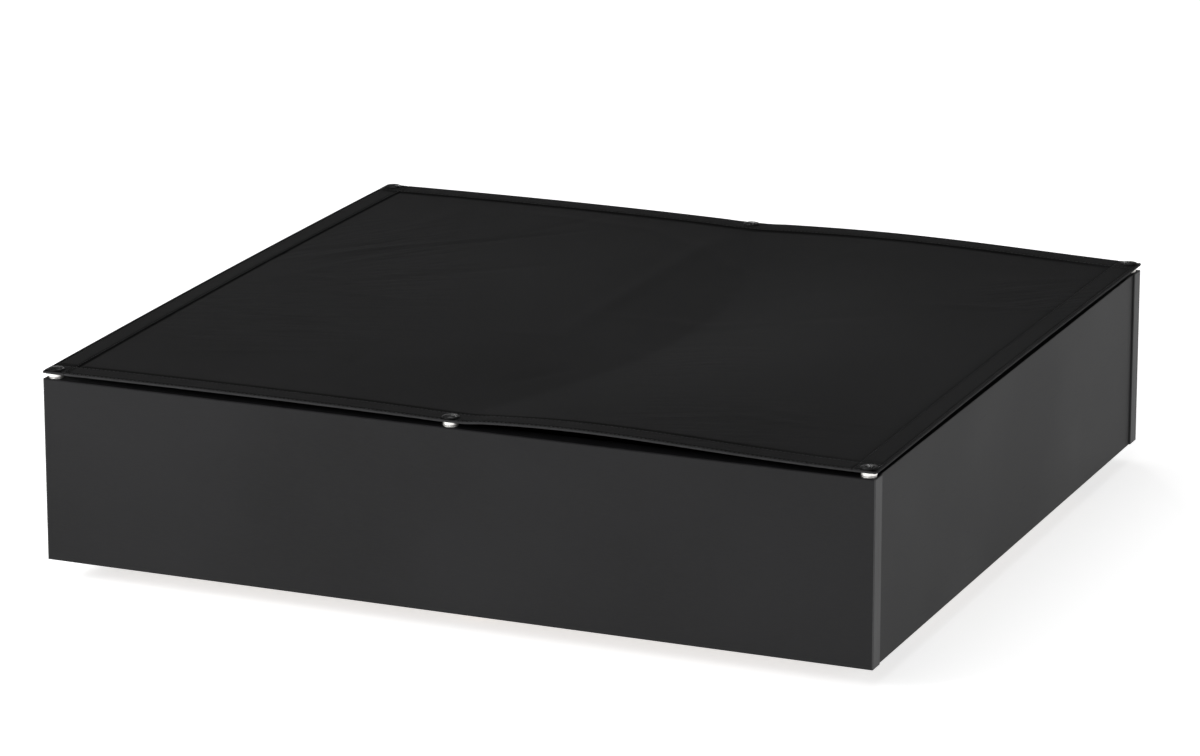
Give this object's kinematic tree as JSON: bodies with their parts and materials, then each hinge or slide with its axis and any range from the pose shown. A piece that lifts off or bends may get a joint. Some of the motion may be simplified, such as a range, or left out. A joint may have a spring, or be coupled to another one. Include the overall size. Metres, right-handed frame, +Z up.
{
  "type": "under-bed storage box",
  "caption": "Low black storage box that rolls under a bed on hidden castors, with a fabric cover held down by press studs and folding back along its rear edge.",
  "frame": {"origin": "on the floor, under the centre of the box's bounding box", "axes": "+X to the right along the front panel, front panel faces -Y, +Z up"},
  "size_m": [0.702, 0.652, 0.1761],
  "materials": {
    "panel_foil": "smooth satin black foil on particleboard",
    "panel_edging": "satin black plastic edging",
    "panel_top_edging": "matt black plastic edging",
    "cover_cloth": "matt black non-woven cloth with a stitched hem",
    "cap_black": "slightly shiny black enamelled cap",
    "stud_nickel": "bright nickel plating",
    "spring_steel": "bright spring wire",
    "bottom_fibreboard": "thin brown hardboard, smooth on top",
    "batten_wood": "planed raw pine",
    "dowel_wood": "raw beech",
    "fitting_plastic": "moulded black plastic",
    "castor_plastic": "moulded black plastic",
    "tyre_rubber": "soft dark grey tread",
    "axle_steel": "zinc-plated steel",
    "zinc_screw": "zinc-plated steel",
    "cam_zinc": "die-cast zinc, dull grey"
  },
  "bodies": {
    "box": {"front_panel": "panel_foil", "back_panel": "panel_foil", "left_side_panel": "panel_foil", "right_side_panel": "panel_foil", "bottom_board": "bottom_fibreboard", "batten": "batten_wood", "batten_holder_front": "fitting_plastic", "batten_holder_back": "fitting_plastic", "castor_screws": "zinc_screw", "holder_screws": "zinc_screw", "cam_bolts": "zinc_screw", "cams": "cam_zinc", "dowels": "dowel_wood", "front_panel_edging_left": "panel_edging", "front_panel_edging_right": "panel_edging", "front_panel_edging_top": "panel_top_edging", "front_screw_studs": "stud_nickel", "castor_housing_front_left": "castor_plastic", "castor_axle_front_left": "axle_steel", "castor_housing_front_right": "castor_plastic", "castor_axle_front_right": "axle_steel", "back_panel_edging_left": "panel_edging", "back_panel_edging_right": "panel_edging", "back_panel_edging_top": "panel_top_edging", "back_screw_studs": "stud_nickel", "castor_housing_back_left": "castor_plastic", "castor_axle_back_left": "axle_steel", "castor_housing_back_right": "castor_plastic", "castor_axle_back_right": "axle_steel", "left_side_panel_edging_top": "panel_top_edging", "right_side_panel_edging_top": "panel_top_edging"},
    "cover_back": {"cover_back_part": "cover_cloth", "back_snap_sockets": "stud_nickel", "back_snap_springs": "spring_steel", "back_snap_caps": "cap_black"},
    "cover_front": {"cover_front_part": "cover_cloth", "front_snap_sockets": "stud_nickel", "front_snap_springs": "spring_steel", "front_snap_caps": "cap_black"},
    "wheel_front_left": {"castor_wheel_front_left": "castor_plastic", "castor_tyre_front_left": "tyre_rubber"},
    "wheel_front_right": {"castor_wheel_front_right": "castor_plastic", "castor_tyre_front_right": "tyre_rubber"},
    "wheel_back_left": {"castor_wheel_back_left": "castor_plastic", "castor_tyre_back_left": "tyre_rubber"},
    "wheel_back_right": {"castor_wheel_back_right": "castor_plastic", "castor_tyre_back_right": "tyre_rubber"}
  },
  "joints": [
    {"name": "cover_lift", "type": "slide", "parent": "box", "child": "cover_back", "axis": [0, 0, 1], "range_m": [0, 0.2], "deforming": ["back_snap_springs"]},
    {"name": "cover_fold", "type": "hinge", "parent": "cover_back", "child": "cover_front", "pos_m": [0, 0.29185, 0.1742], "axis": [-1, 0, 0], "range_deg": [0, 165], "deforming": ["front_snap_springs"]},
    {"name": "wheel_spin_front_left", "type": "hinge", "parent": "box", "child": "wheel_front_left", "pos_m": [-0.3203, -0.23, 0.018], "axis": [1, 0, 0], "continuous": true},
    {"name": "wheel_spin_front_right", "type": "hinge", "parent": "box", "child": "wheel_front_right", "pos_m": [0.3203, -0.23, 0.018], "axis": [1, 0, 0], "continuous": true},
    {"name": "wheel_spin_back_left", "type": "hinge", "parent": "box", "child": "wheel_back_left", "pos_m": [-0.3203, 0.23, 0.018], "axis": [1, 0, 0], "continuous": true},
    {"name": "wheel_spin_back_right", "type": "hinge", "parent": "box", "child": "wheel_back_right", "pos_m": [0.3203, 0.23, 0.018], "axis": [1, 0, 0], "continuous": true}
  ]
}
